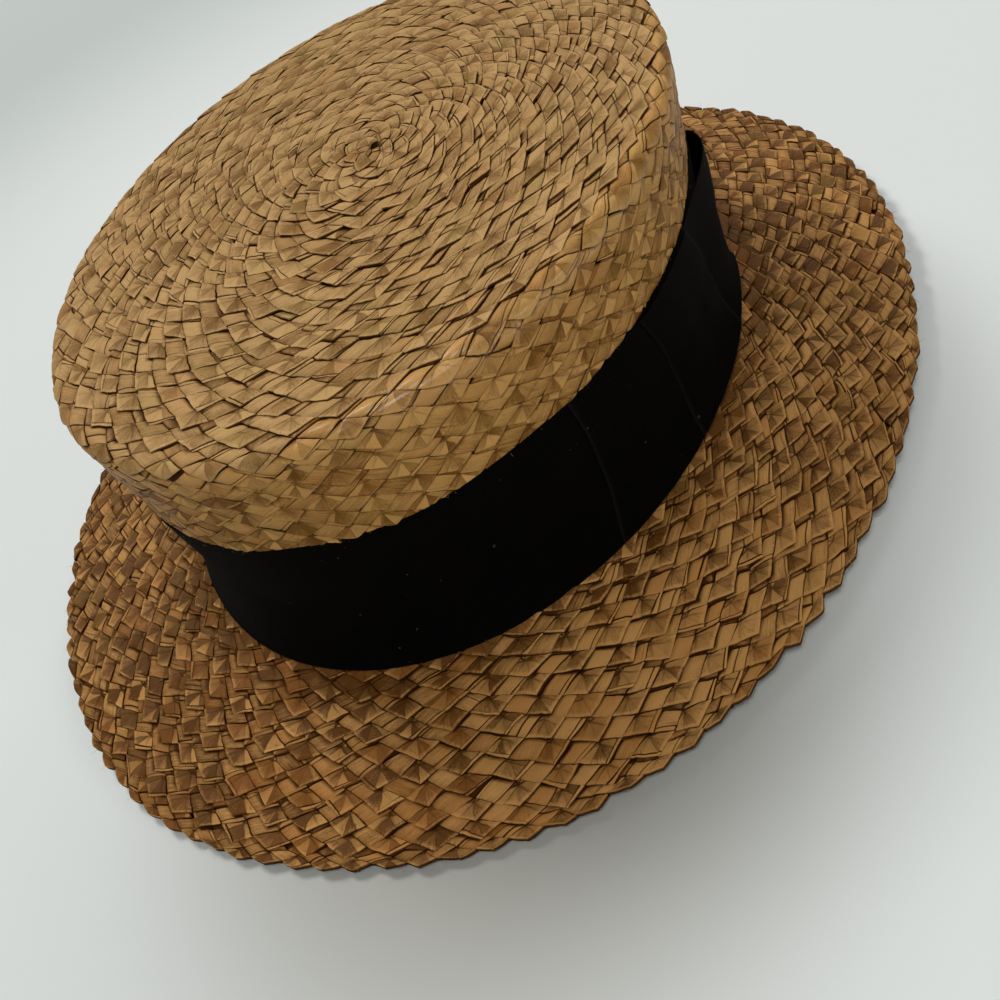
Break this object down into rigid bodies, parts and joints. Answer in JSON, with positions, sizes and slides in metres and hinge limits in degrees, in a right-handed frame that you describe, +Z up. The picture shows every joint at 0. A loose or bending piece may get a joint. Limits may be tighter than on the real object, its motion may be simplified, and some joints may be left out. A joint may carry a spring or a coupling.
{
  "type": "straw boater hat",
  "caption": "Stiff sewn straw boater with a flat oval crown, a level brim and a black ribbon with a flat side bow, open underneath for the head.",
  "frame": {"origin": "on the surface the hat stands on, under the middle of its outline", "axes": "+Z up, +Y towards the back of the hat along its length, +X towards the wearer's left, where the bow is"},
  "size_m": [0.2824, 0.3206, 0.0883],
  "materials": {
    "crown_straw": "plaited straw, satin, pale gold tan on the top and warm honey on the side",
    "brim_straw": "plaited straw, satin, browner than the crown, with olive and orange strands",
    "ribbon": "matt black ribbon with fine ribs"
  },
  "bodies": {
    "root": {"crown_tip": "crown_straw", "crown_side": "crown_straw", "brim": "brim_straw", "ribbon_band": "ribbon", "bow_loops": "ribbon", "bow_knot": "ribbon"}
  },
  "joints": []
}
